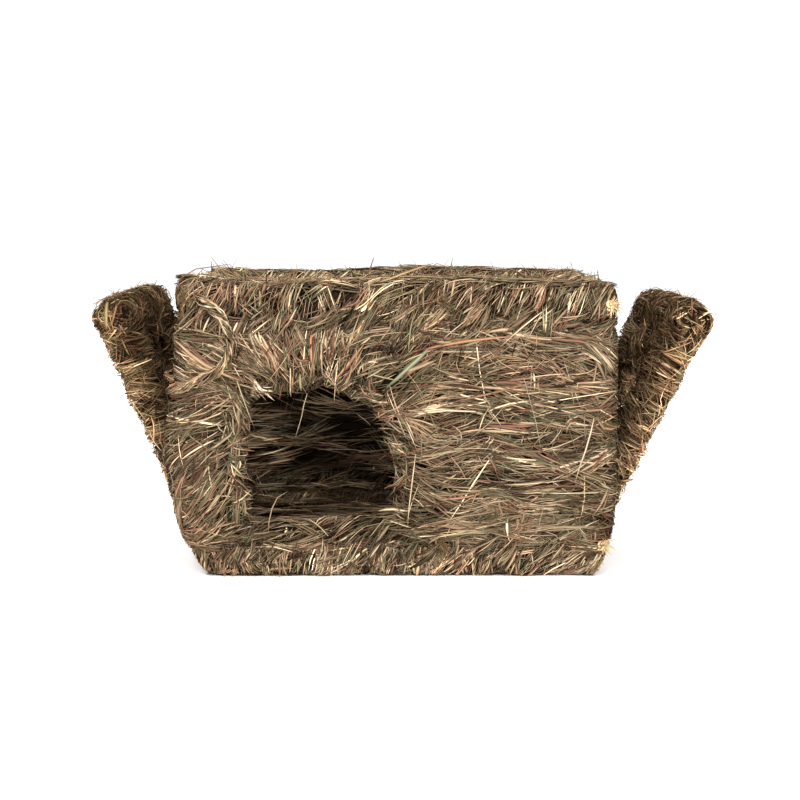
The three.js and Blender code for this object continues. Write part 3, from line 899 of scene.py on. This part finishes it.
def finish_material(tree, shader, colour, gloss, relief, strength, distance):
    bump = add_node(tree, "ShaderNodeBump", Strength=strength, Distance=distance, Height=relief)
    for name, socket in (("Base Color", colour), ("Roughness", gloss), ("Normal", bump.outputs[0])):
        tree.links.new(socket, shader.inputs[name])


def fibre_material(name, roughness, streak, weathering):
    """Dried grass: its own tint, streaked along the fibres, weathered in patches and finely ribbed."""
    material, tree, shader = new_material(name)
    tint = add_node(tree, "ShaderNodeVertexColor", {"layer_name": "tint"})
    fibre = add_node(tree, "ShaderNodeUVMap", {"uv_map": "Fibre"}).outputs[0]
    along_fibre = add_node(tree, "ShaderNodeMapping", Vector=fibre, Scale=(0.09, 2.2, 1))
    streaks = noise(tree, along_fibre.outputs[0], 1.0, 4.0)
    streaked = add_node(tree, "ShaderNodeVectorMath", {"operation": "SCALE"}, i0=tint.outputs[0],
                        Scale=stretched(tree, streaks, 1 - streak, 1 + streak))
    patches = noise(tree, add_node(tree, "ShaderNodeTexCoord").outputs["Object"], 38.0, 3.0)
    weathered = add_node(tree, "ShaderNodeMix", {"data_type": "RGBA", "blend_type": "MULTIPLY"},
                         i0=stretched(tree, patches, 0.0, weathering, 0.52, 0.75),
                         i6=streaked.outputs[0], i7=(0.62, 0.46, 0.34, 1))
    gloss = stretched(tree, streaks, roughness - 0.1, roughness + 0.1)
    ribs = add_node(tree, "ShaderNodeTexWave", {"bands_direction": "Y"}, Vector=fibre, Scale=1.1,
                    Distortion=0.6)
    finish_material(tree, shader, weathered.outputs[2], gloss, ribs.outputs[1], 0.35, 0.0002)
    shader.inputs["Specular IOR Level"].default_value = 0.0
    return material


def wire_material():
    """Galvanised steel wire, mottled and dulled in patches."""
    material, tree, shader = new_material("steel_wire")
    spangle = noise(tree, add_node(tree, "ShaderNodeTexCoord").outputs["Object"], 240.0, 5.0)
    colour = add_node(tree, "ShaderNodeMix", {"data_type": "RGBA"}, i0=spangle,
                      i6=(0.36, 0.36, 0.35, 1), i7=(0.66, 0.66, 0.65, 1))
    gloss = stretched(tree, spangle, 0.32, 0.55)
    finish_material(tree, shader, colour.outputs[2], gloss, spangle, 0.2, 0.0001)
    shader.inputs["Metallic"].default_value = 1.0
    return material


STRAW = fibre_material("dried_grass", 0.7, 0.24, 0.5)
CORD = fibre_material("grass_cord", 0.72, 0.18, 0.3)


# ---------------------------------------------------------------- pieces


def slanting(*angles):
    """A slant that changes evenly along a roll through the given angles."""
    return lambda along: np.interp(along / ROLL_RUN, np.linspace(0, 1, len(angles)), angles)


def opening(outline):
    """Tells which places are in an opening, or close outside it."""
    return lambda u, v: distance_inside(outline, u, v) > -OPENING_ROOM


def start_panel(panel, weave, blocked, slants, straws_per_metre, unevenness, **winding):
    """Starts the panel's bundles: the cores, dark with painted shade, and the straws wound on the rolls."""
    mat = bundles[panel.mat_name] = Bundle(panel.mat_name, panel.body)
    weave.add_cores(mat, panel, blocked)
    for roll, angles in zip(panel.rolls, slants):
        bundle = bundles[roll] = Bundle(roll, panel.body)
        spine = panel.roll_spine(roll)
        lumps = Lumps(bundle.rng, unevenness, 50)
        add_core(bundle, panel, spine, panel.radius - CORE_DEPTH, lumps)
        count = int(straws_per_metre * spine.length / 1000)
        slant = slanting(*angles)
        wind(bundle, panel, spine, panel.radius, count, slant, lumps, **winding)
        wind(bundle, panel, spine, panel.radius, count // 4, slant, lumps, width=3.2, depth=1.0, lift=0,
             raised=-1.0)
        cap_width = winding.get("width", STRAW_WIDTH)
        cap_ends(bundle, panel, spine, panel.radius, int(panel.radius * 12), cap_width)


def coat(panel, side, count, field, surface, blocked=nothing_blocked, tone=1.0, width=STRAW_WIDTH):
    """Straws that follow the field, and over them some thin strays that lie any way."""
    lay(panel, side, count, field, surface, blocked, tone=tone, width=width)
    lay(panel, side, count // 20, field, surface, blocked, 50, 26, 3, width=0.9, depth=1.5, lift=0.4,
        raised=2.2, tone=tone)


def dress_plain_panel(panel, weave):
    *_, outer_count, inner_count = HUT_PANELS[panel.name]
    coat(panel, 1, outer_count, weave.field, weave.surface(panel, 1))
    # The inner coat is brightened with painted light.
    coat(panel, -1, inner_count, weave.field, weave.surface(panel, -1), tone=HUT_INSIDE_PAINTED_LIGHT)


def doorway_line(panel):
    """The open part of a flap, under its mat's arch and between its rolls."""
    arch = arch_line(panel)
    bottom, _, front, rear = (panel.boxes[roll] for roll in panel.rolls)
    left, right = sorted(box[end][0] for box in (front, rear) for end in (0, 1))[1:3]
    foot = bottom[1][1]
    return np.concatenate([[(left, foot), (left, arch[0][1])], arch, [(right, arch[-1][1]), (right, foot)]])


def dress_flap(panel):
    """An end flap: fat rolls of short wraps, and a mat whose arched lower edge is wound like a roll."""
    weave = Weave(panel, FLAP_COURSES)
    blocked = opening(doorway_line(panel))
    # The flaps' inside factor is painted shade: it darkens the straws on the side of each roll that faces
    # the hut, the fuzz and the arch's wraps.
    start_panel(panel, weave, blocked, [[FLAP_SLANT]] * 4, FLAP_STRAWS_PER_METRE, FLAP_UNEVENNESS,
                width=1.0, spread=17, inside=FLAP_INSIDE_SHADE)
    coat(panel, 1, FLAP_COAT, weave.field, weave.surface(panel, 1), blocked)
    # The mat's inner coat is darkened with painted shade by the same factor.
    coat(panel, -1, FLAP_COAT, weave.field, weave.surface(panel, -1), blocked, FLAP_INSIDE_SHADE, 1.0)
    for roll in panel.rolls:
        bundle, spine = bundles[roll], panel.roll_spine(roll)
        lumps = Lumps(bundle.rng, 1, 50)
        wind(bundle, panel, spine, panel.radius, FLAP_FUZZ, slanting(60), lumps, 60, 20, 0.85,
             lift=1.0, loft=3.6, tuft_size=1, inside=FLAP_INSIDE_SHADE, raised=1.6)
    mat = bundles[panel.mat_name]
    spine = Spine(np.insert(arch_line(panel, 5), 2, panel.plane, axis=1), (0, 0, 1))
    lumps = Lumps(mat.rng, 0.6, 50)
    add_core(mat, panel, spine, ARCH_ROLL - 2.4, lumps)
    wind(mat, panel, spine, ARCH_ROLL, 900, slanting(70), lumps, length=26, width=1.0, inside=FLAP_INSIDE_SHADE)


def front_field(weave):
    """The directions of the straws on the front: along the courses, but fanned out around the door."""
    anchors = np.array(FRONT_LAY, float)

    def field(u, v):
        level = weave.field(u, v)
        near = np.exp(-((u[..., None] - anchors[:, 0]) ** 2 + (v[..., None] - anchors[:, 1]) ** 2)
                      / (2 * anchors[:, 3] ** 2))
        double = 2 * np.radians(anchors[:, 2])
        east = (near * np.cos(double)).sum(-1) + 0.12 * np.cos(2 * level)
        north = (near * np.sin(double)).sum(-1) + 0.12 * np.sin(2 * level)
        return np.arctan2(north, east) / 2

    return field


def front_surface(panel, weave, outline):
    """The front's outer surface: mat and rolls, dipping to the roll round the door, with shallow joints."""
    plain = weave.surface(panel, 1)

    def surface(u, v):
        inside = distance_inside(outline, u, v)
        edge = np.clip((-inside - DOOR_EDGE_ROLL * 0.5) / DOOR_EDGE_ROLL, 0, 1)
        rim = DOOR_EDGE_ROLL * np.sqrt(np.clip(1 - (inside / (DOOR_EDGE_ROLL + 1)) ** 2, 0, 1))
        height = np.maximum(plain(u, v), JOINT_HEIGHT)
        return np.maximum(height * edge, rim)

    return surface


def dress_front(panel, weave):
    """The front: its straws fan out above the door and turn round its sides, over mat and rolls alike."""
    *_, outer_count, inner_count = HUT_PANELS["front"]
    outline = door_line()
    ragged = Lumps(seeded("door"), 1.8, 22, 0)
    blocked = lambda u, v: distance_inside(outline, u, v) > DOOR_EDGE_ROLL - 3 + ragged(u + v)
    field, surface = front_field(weave), front_surface(panel, weave, outline)
    coat(panel, 1, outer_count, field, surface, blocked, tone=FRONT_TONE)
    lay(panel, 1, 160, weave.field, surface, blocked, 60, 44, 1, width=0.9, depth=1.0, lift=0.5,
        raised=3.4, tone=1.35)
    lay(panel, 1, 1500, field, surface, blocked, 50, 17, 3, width=1.2, depth=2.8, lift=0.35, raised=1.8,
        curl=0.35)
    add_front_tufts(FRONT_TUFTS, panel, surface, blocked)
    add_front_tufts(DOOR_TUFTS, panel, surface, nothing_blocked)
    add_stalks(panel.mat_name)
    add_strand(panel, surface)
    coat(panel, -1, inner_count, weave.field, weave.surface(panel, -1), blocked)
    edge = bundles["front_door_edge_roll"] = Bundle("front_door_edge_roll", "hut")
    spine = Spine(np.insert(outline, 2, panel.plane, axis=1), (0, 0, 1))
    lumps = Lumps(edge.rng, 1.9, 40)
    add_core(edge, panel, spine, DOOR_EDGE_ROLL - 2.6, lumps, rounded=False)
    wind(edge, panel, spine, DOOR_EDGE_ROLL, 2200, slanting(70), lumps, 20, 26, 1.1, rounded=False)
    wind(edge, panel, spine, DOOR_EDGE_ROLL, 420, slanting(60), lumps, 50, 22, 1.0, lift=1.0, loft=3.4,
         tuft_size=2, rounded=False)


def add_stitches(panel, surface, height, tuft_count, slant, length):
    """Short tufts across the joint between two panels' rolls, so that it doesn't show as a long groove."""
    rng = bundles[panel.mat_name].rng
    low, high = panel.reach()
    tufts = np.repeat(np.arange(tuft_count), 9)
    middles = rng.uniform(low[0] + 8, high[0] - 8, tuft_count)[tufts]
    angles = np.radians(slant + varied(rng, tufts, 18, 6))
    beside = rng.normal(0, 3.6, len(tufts))
    across = varied(rng, tufts, 4.5, 2)
    u0 = middles - beside * np.sin(angles)
    v0 = height + beside * np.cos(angles) + across
    bridge = lambda u, v: np.maximum(surface(u, v), 14.5)
    place_straws(panel, 1, tufts, u0, v0, angles, lambda u, v: 0 * u, bridge, nothing_blocked, length,
                 depth=1.6, raised=0.6, sinking=0, tone=1.35, reach_over=14)


def add_front_tufts(tufts, panel, surface, blocked):
    """Tufts that stand out on the front, over everything else."""
    rng = bundles["front_mat"].rng
    for x, z, degrees, count, length, width, spread in tufts:
        level = lambda u, v: np.radians(degrees) + 0 * u
        beside = rng.normal(0, 0.35, count) * width * math.sqrt(count)
        u0 = x - beside * math.sin(math.radians(degrees)) + rng.normal(0, 2, count)
        v0 = z + beside * math.cos(math.radians(degrees)) + rng.normal(0, 2, count)
        turn = np.radians(rng.normal(0, spread, count))
        place_straws(panel, 1, np.zeros(count, int), u0, v0, turn, level, surface, blocked, length,
                     width=width, depth=0, lift=0.2, raised=4.2, tone=1.1, curl=0.12)


def add_strand(panel, surface):
    """A strand twisted from straws, lying loose over the top left corner of the front."""
    mat = bundles[panel.mat_name]
    marks = np.linspace(0, len(STRAND) - 1, 19)
    u, v = (np.interp(marks, range(len(STRAND)), axis) for axis in zip(*STRAND))
    spine = Spine(np.stack([u, v, panel.plane + surface(u, v) + 6.5], -1), (0, 0, 1))
    lumps = Lumps(mat.rng, 0.3, 20)
    wind(mat, panel, spine, 3.0, 190, slanting(18), lumps, 5, 34, 1.5, depth=0.8, lift=0.05, raised=2.4,
         tone=1.5)


def add_stalks(name):
    for colour, width, places in STALKS[name]:
        line = np.array(places, float)[None]
        outward = np.zeros_like(line) + (0, -1, 0)
        tint = linear(STRAW_COLOURS[colour][0])[None]
        in_the_light = np.full((1, STATIONS), SHADE[1])
        add_straws(bundles[name], line, outward, np.array([width]), tint, in_the_light)


def dress_hut():
    """The four fixed panels. Their bundles are all started before the coats, which run over the joints."""
    weaves = {}
    for name, (courses, slants, straws_per_metre, tone, *_) in HUT_PANELS.items():
        blocked = opening(door_line()) if name == "front" else nothing_blocked
        weaves[name] = Weave(panels[name], courses)
        start_panel(panels[name], weaves[name], blocked, slants, straws_per_metre, HUT_UNEVENNESS,
                    spread=22, tuft_size=8, tone=tone)
    dress_front(panels["front"], weaves["front"])
    dress_plain_panel(panels["back"], weaves["back"])
    for wall in (panels["front"], panels["back"]):
        low, high = wall.joints()
        surface = weaves[wall.name].surface(wall, 1)
        add_stitches(wall, surface, low - 10, 48, 52, 20)
        add_stitches(wall, surface, high + 3, 60, 50, 26)
    dress_plain_panel(panels["roof"], weaves["roof"])
    dress_plain_panel(panels["floor"], weaves["floor"])
    roof = weaves["roof"]
    lay(panels["roof"], 1, 1200, roof.field, roof.surface(panels["roof"], 1), nothing_blocked, 60, 30, 1,
        width=1.1, depth=1.0, lift=1.0, loft=5.8, raised=0.5, tone=0.8)
    add_stalks("roof_front_roll")


def finish_bundles():
    for name, bundle in bundles.items():
        bundle.build(STRAW, "woven_grass" if name.endswith("_mat") else "grass_roll")


def belt(a, b, grow):
    """The closed line of a cord pulled tight round two rolls seen end on, each a place and a radius."""
    (ax, ay, ar), (bx, by, br) = a, b
    heading = math.atan2(by - ay, bx - ax)
    spread = math.acos((ar - br) / math.hypot(bx - ax, by - ay))
    far = np.linspace(heading - spread, heading + spread, 16)
    near = np.linspace(heading + spread, heading - spread + TURN, 16)
    far = np.stack([bx + (br + grow) * np.cos(far), by + (br + grow) * np.sin(far)], -1)
    near = np.stack([ax + (ar + grow) * np.cos(near), ay + (ar + grow) * np.sin(near)], -1)
    return np.concatenate([far, near])


def evenly(points, spacing):
    """The points of a closed line again, at even distances."""
    ring = np.concatenate([points, points[:1]])
    marks = np.concatenate([[0], np.cumsum(np.linalg.norm(np.diff(ring, axis=0), axis=1))])
    places = np.linspace(0, marks[-1], int(marks[-1] / spacing), endpoint=False)
    return np.stack([np.interp(places, marks, ring[:, i]) for i in range(ring.shape[1])], -1), marks[-1]


def add_twisted_loop(bundle, line, across):
    """A closed cord: strands twisted round each other along a line."""
    line, length = evenly(line, 1.6)
    heading = unit(np.roll(line, -1, axis=0) - np.roll(line, 1, axis=0))
    beside = unit(np.cross(heading, across))
    turns = round(length / CORD_TWIST)
    share = np.arange(len(line)) / len(line)
    for strand in range(CORD_STRANDS):
        angle = TURN * (turns * share + strand / CORD_STRANDS)
        away = beside * np.cos(angle)[:, None] + across * np.sin(angle)[:, None]
        add_rope(bundle, line + away * CORD_STRAND_RADIUS * 1.05, CORD_STRAND_RADIUS, length, CORD_COLOUR)


def add_rope(bundle, line, radius, length, colour):
    """A closed round strand along a line."""
    heading = unit(np.roll(line, -1, axis=0) - np.roll(line, 1, axis=0))
    guide = np.where(np.abs(heading[:, :1]) > 0.9, [[0, 0, 1.0]], [[1.0, 0, 0]])
    beside = unit(np.cross(heading, guide))
    third = np.cross(heading, beside)
    angle = np.linspace(0, TURN, CORD_SIDES, endpoint=False)[:, None]
    around = beside[:, None] * np.cos(angle) + third[:, None] * np.sin(angle)
    tint = linear(colour) * math.exp(bundle.rng.normal(0, 0.12))
    add_bar(bundle, line[:, None] + around * radius, tint, length, closed=True)


def add_knot(bundle, place, outward, colour):
    """A small knot on a cord, with two frayed ends."""
    around, through = KNOT_TURNS
    t = np.linspace(0, TURN, 64, endpoint=False)
    reach = 2.9 + 1.4 * np.cos(through * t)
    depth = 1.5 * outward * np.sin(through * t)
    loop = np.stack([reach * np.cos(around * t), depth, reach * np.sin(around * t)], -1)
    add_rope(bundle, place + loop, 1.15, 60, colour)
    rng = bundle.rng
    count = 44
    tufts = np.repeat([0, 1], count // 2)
    ends = np.array([[0.6, 0.5 * outward, 0.8], [0.9, 0.5 * outward, -0.4]])
    heading = unit(rng.normal(0, 0.45, (count, 3)) + ends[tufts])
    lengths = rng.uniform(6, 15, count)
    share = np.linspace(0, 1, STATIONS)
    lines = place + heading[:, None] * lengths[:, None, None] * share[:, None]
    lines[..., 2] -= 2.5 * share**2
    out = np.zeros_like(lines) + (0, outward, 0.2)
    tints = linear(colour) * np.exp(rng.normal(0, 0.2, (count, 1)))
    in_the_light = np.full((count, STATIONS), SHADE[1])
    add_straws(bundle, lines, unit(out), np.full(count, 0.9), tints, in_the_light)


def round_roll(node, axes):
    """A roll seen end on: its place along two axes, and its radius."""
    low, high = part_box(node)
    i, j = axes
    return (low[i] + high[i]) / 2 / MM, (low[j] + high[j]) / 2 / MM, (high[j] - low[j]) / 2 / MM


def dress_tie(name, roll_a, roll_b, axes):
    """A grass cord pulled tight round two rolls, and on the long joints tied in a knot."""
    bundle = Bundle(name, "hut")
    run = 3 - sum(axes)
    low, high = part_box(name)
    flat = belt(round_roll(roll_a, axes), round_roll(roll_b, axes), -2.4)
    line = np.empty((len(flat), 3))
    line[:, axes[0]] = flat[:, 0]
    line[:, axes[1]] = flat[:, 1]
    line[:, run] = (low[run] + high[run]) / 2 / MM
    across = np.eye(3)[run]
    add_twisted_loop(bundle, line, across)
    if run == 0:
        outward = math.copysign(1, flat[:, 0].mean())
        front = flat[:, 0].max() if outward > 0 else flat[:, 0].min()
        height = KNOT_HEIGHTS[name.split("_")[1]]
        colour = KNOT_COLOUR if name.endswith("front_right") else CORD_COLOUR
        add_knot(bundle, np.array([line[0, 0], front + outward * 1.6, height]), outward, colour)
    bundle.build(CORD, "grass_cord")


def dress_ties():
    for wall in ("front", "back"):
        for place in ("left", "middle", "right"):
            dress_tie(f"tie_floor_{wall}_{place}", f"floor_{wall}_roll", f"{wall}_bottom_roll", (1, 2))
            dress_tie(f"tie_roof_{wall}_{place}", f"{wall}_top_roll", f"roof_{wall}_roll", (1, 2))
    for side in ("left", "right"):
        for place in ("front", "rear"):
            dress_tie(f"tie_{side}_flap_{place}", f"floor_{side}_roll", f"{side}_flap_bottom_roll", (0, 2))


def dress_wires():
    material = wire_material()
    for name, node in frame["nodes"].items():
        if name.endswith("_wire"):
            node.data.materials.clear()
            node.data.materials.append(material)


# ---------------------------------------------------------------- the studio

LIT_PLACE = Vector((0, 0, 0.12))


def add_floor():
    mesh = bpy.data.meshes.new("studio_floor")
    corners = [(-6, -6, 0), (6, -6, 0), (6, 6, 0), (-6, 6, 0)]
    mesh.from_pydata(corners, [], [(0, 1, 2, 3)])
    floor = bpy.data.objects.new("studio_floor", mesh)
    bpy.context.scene.collection.objects.link(floor)
    material, _, shader = new_material("studio_floor")
    shader.inputs["Base Color"].default_value = (0.93, 0.93, 0.93, 1)
    shader.inputs["Roughness"].default_value = 0.9
    mesh.materials.append(material)


def add_area_light(name, place, size, power):
    """A round soft light, in metres and watts, turned to the middle of the object."""
    lamp = bpy.data.lights.new(name, "AREA")
    lamp.shape = "DISK"
    lamp.size = size
    lamp.energy = power
    holder = bpy.data.objects.new(name, lamp)
    holder.location = place
    holder.rotation_euler = (LIT_PLACE - holder.location).to_track_quat("-Z", "Y").to_euler()
    bpy.context.scene.collection.objects.link(holder)


def light_studio():
    world = bpy.data.worlds.new("studio")
    world.use_nodes = True
    background = world.node_tree.nodes["Background"]
    background.inputs[0].default_value = (1, 1, 1, 1)
    background.inputs[1].default_value = 1.15
    bpy.context.scene.world = world
    add_area_light("key", (-0.8, -2.1, 2.0), 1.0, 64)
    add_area_light("fill", (0.9, -2.1, 1.8), 1.2, 50)
    add_area_light("back", (0.1, 2.4, 2.0), 1.4, 60)
    bpy.context.scene.view_settings.view_transform = "Standard"
    bpy.context.scene.view_settings.look = "None"


def add_camera():
    lens = bpy.data.cameras.new("camera")
    lens.lens = 63.5
    camera = bpy.data.objects.new("camera", lens)
    camera.location = (0.003, -1.40, 0.338)
    camera.rotation_euler = (math.radians(90 - 7.84), 0, 0)
    bpy.context.scene.collection.objects.link(camera)
    bpy.context.scene.camera = camera


bundles = {}
panels = make_panels()
add_camera()
light_studio()
add_floor()
dress_wires()
dress_ties()
dress_hut()
for flap in ("left_flap", "right_flap"):
    dress_flap(panels[flap])
finish_bundles()
